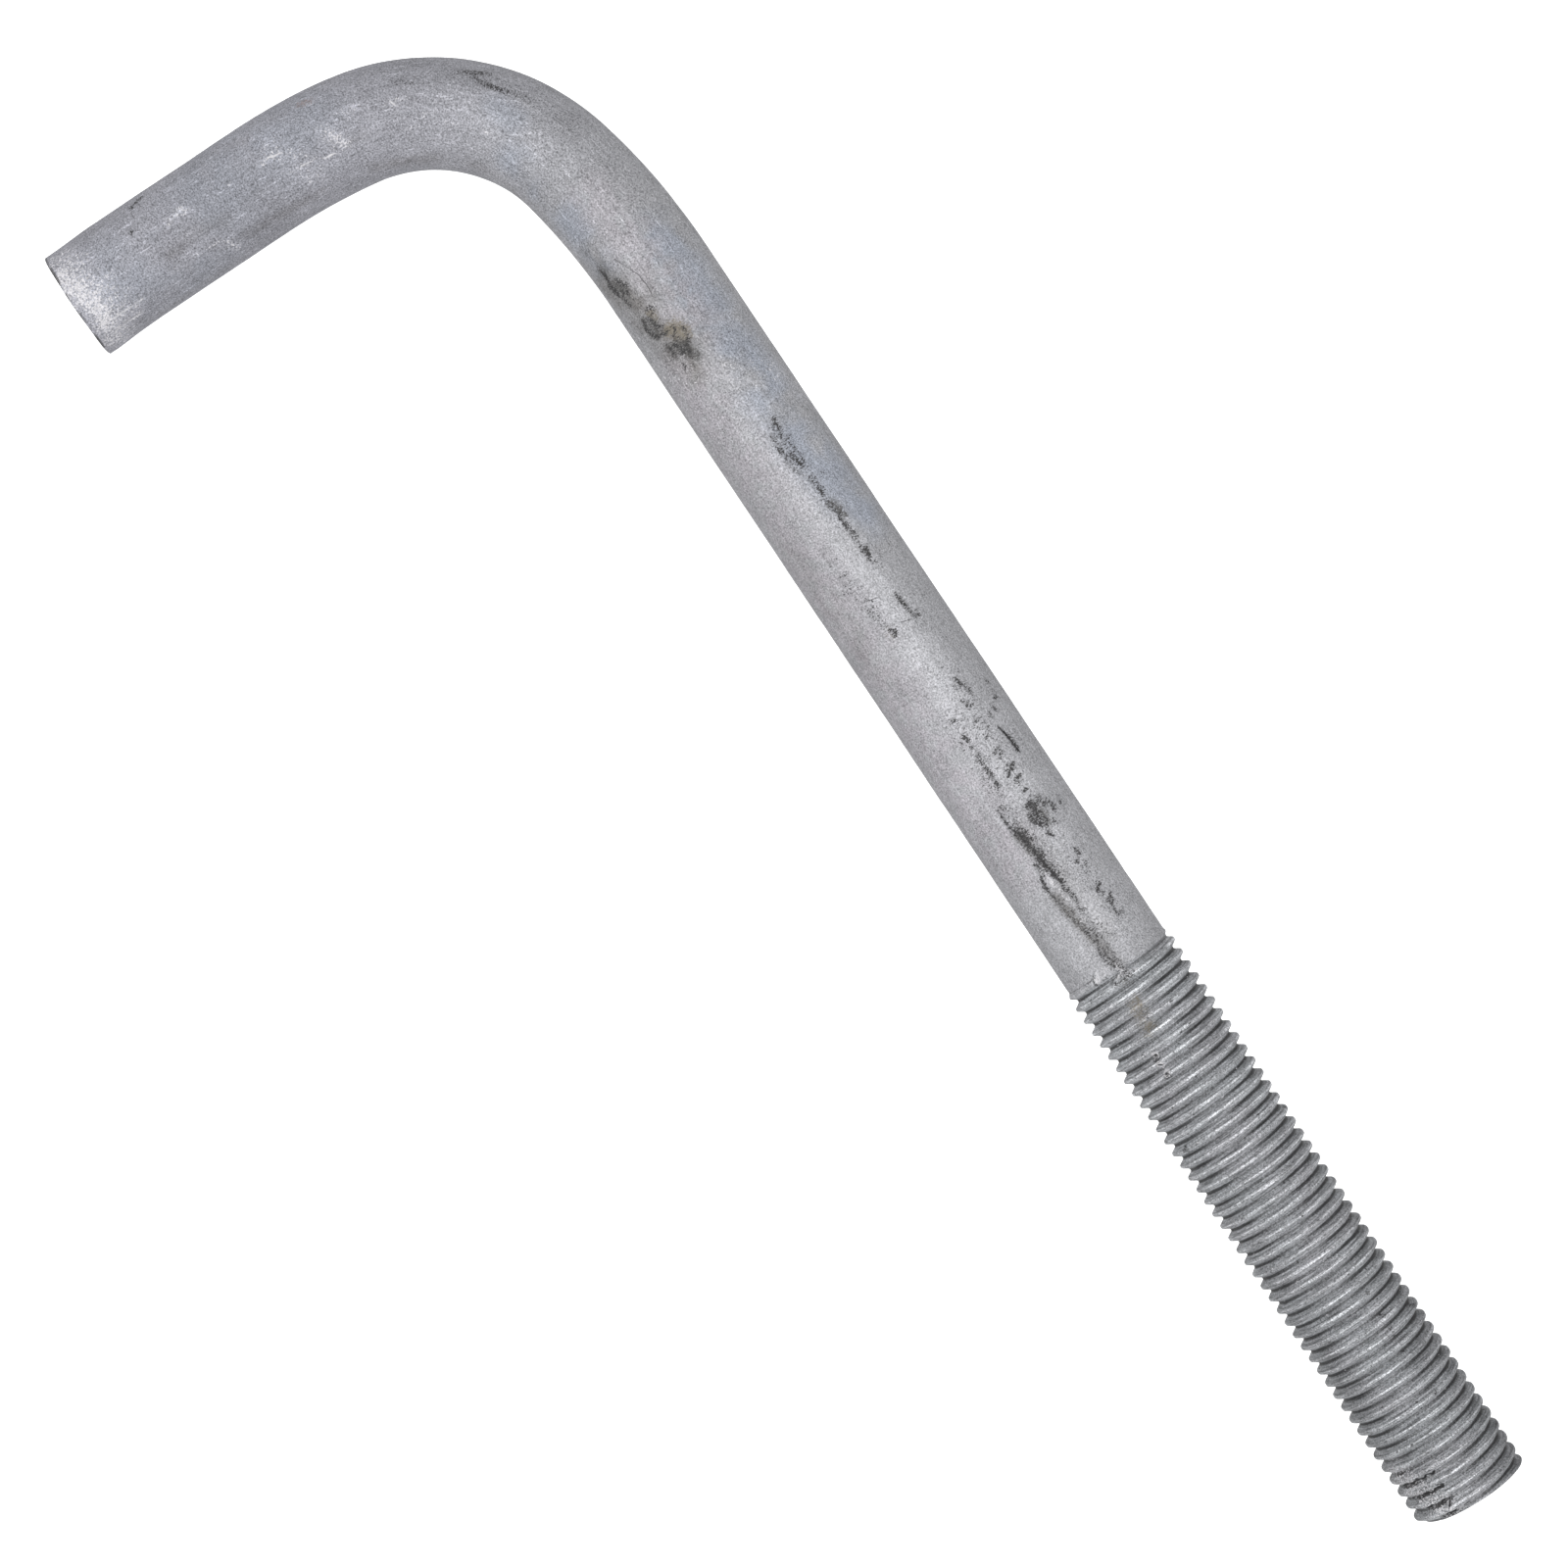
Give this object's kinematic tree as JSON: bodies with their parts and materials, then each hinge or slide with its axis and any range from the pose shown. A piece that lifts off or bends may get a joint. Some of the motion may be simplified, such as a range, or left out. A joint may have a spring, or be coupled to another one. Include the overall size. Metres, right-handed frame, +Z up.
{
  "type": "l-shaped anchor bolt",
  "caption": "L-shaped steel anchor bolt: a round galvanised bar with a right-hand thread on its long leg and a bent hook that is cast into concrete.",
  "frame": {"origin": "middle of the footprint of the bolt lying flat, on the surface it lies on", "axes": "+X along the long leg towards the threaded end, -Y along the hook towards its cut end, +Z up"},
  "size_m": [0.4432, 0.1381, 0.0299],
  "materials": {
    "zinc_steel": "hot-dip galvanised: dull mottled grey zinc with fine grain, dark stains and pits"
  },
  "bodies": {
    "root": {"anchor_bolt": "zinc_steel"}
  },
  "joints": []
}
